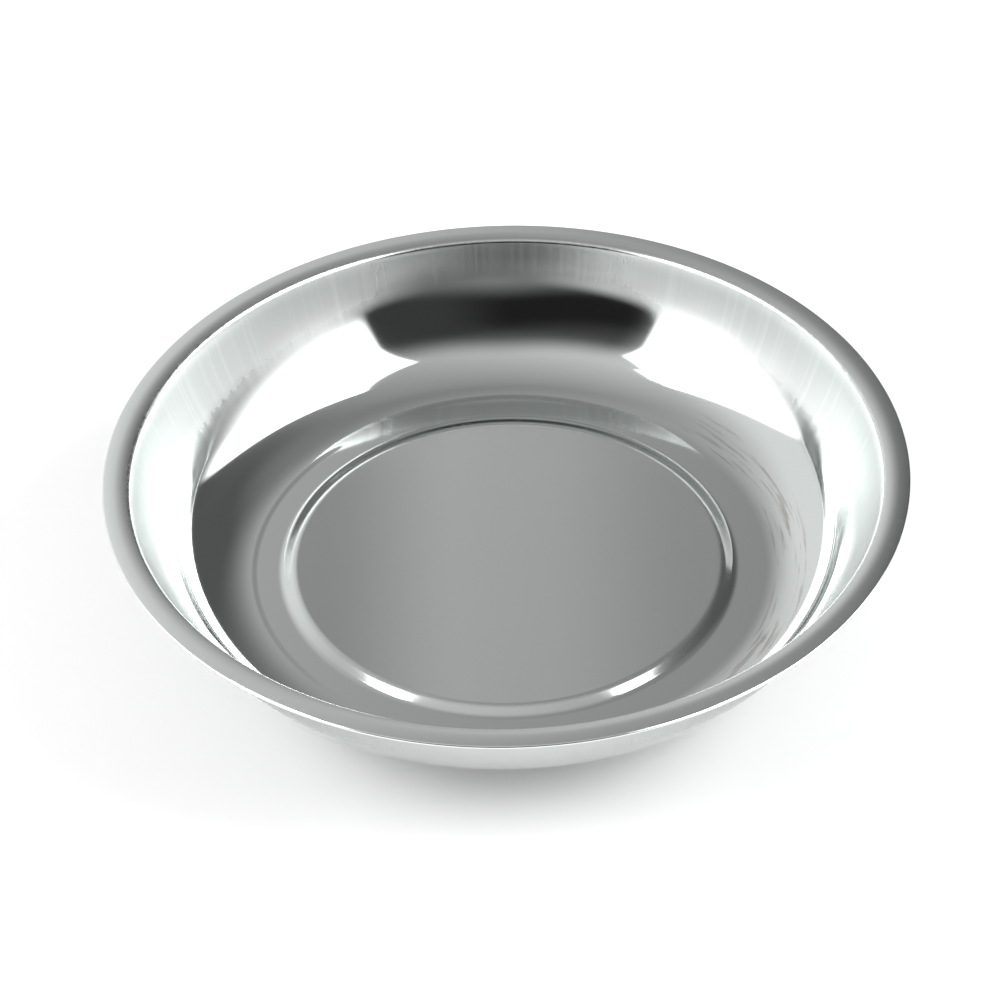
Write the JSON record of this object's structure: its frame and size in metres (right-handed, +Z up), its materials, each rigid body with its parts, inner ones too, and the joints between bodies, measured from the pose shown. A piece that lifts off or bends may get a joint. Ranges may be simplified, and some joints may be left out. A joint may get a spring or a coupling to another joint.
{
  "type": "magnetic parts tray",
  "caption": "Round drawn-steel dish with a flat rim and a raised floor, on a rubber-covered ring magnet that holds small steel parts in it and holds it to a bench.",
  "frame": {"origin": "centre of the rubber face under the magnet, on the surface that the tray rests on", "axes": "+Z up, along the dish's axis of revolution; X and Y are free, and the picture is taken from the -Y side"},
  "size_m": [0.15, 0.15, 0.0352],
  "materials": {
    "stainless": "polished",
    "zinc_plate": "satin",
    "ferrite": "matte",
    "rubber": "matte"
  },
  "bodies": {
    "root": {"dish": "stainless", "weld_stud": "zinc_plate", "ring_magnet": "ferrite", "magnet_boot": "rubber", "retainer": "zinc_plate", "spring_washer": "zinc_plate", "hex_nut": "zinc_plate"}
  },
  "joints": []
}
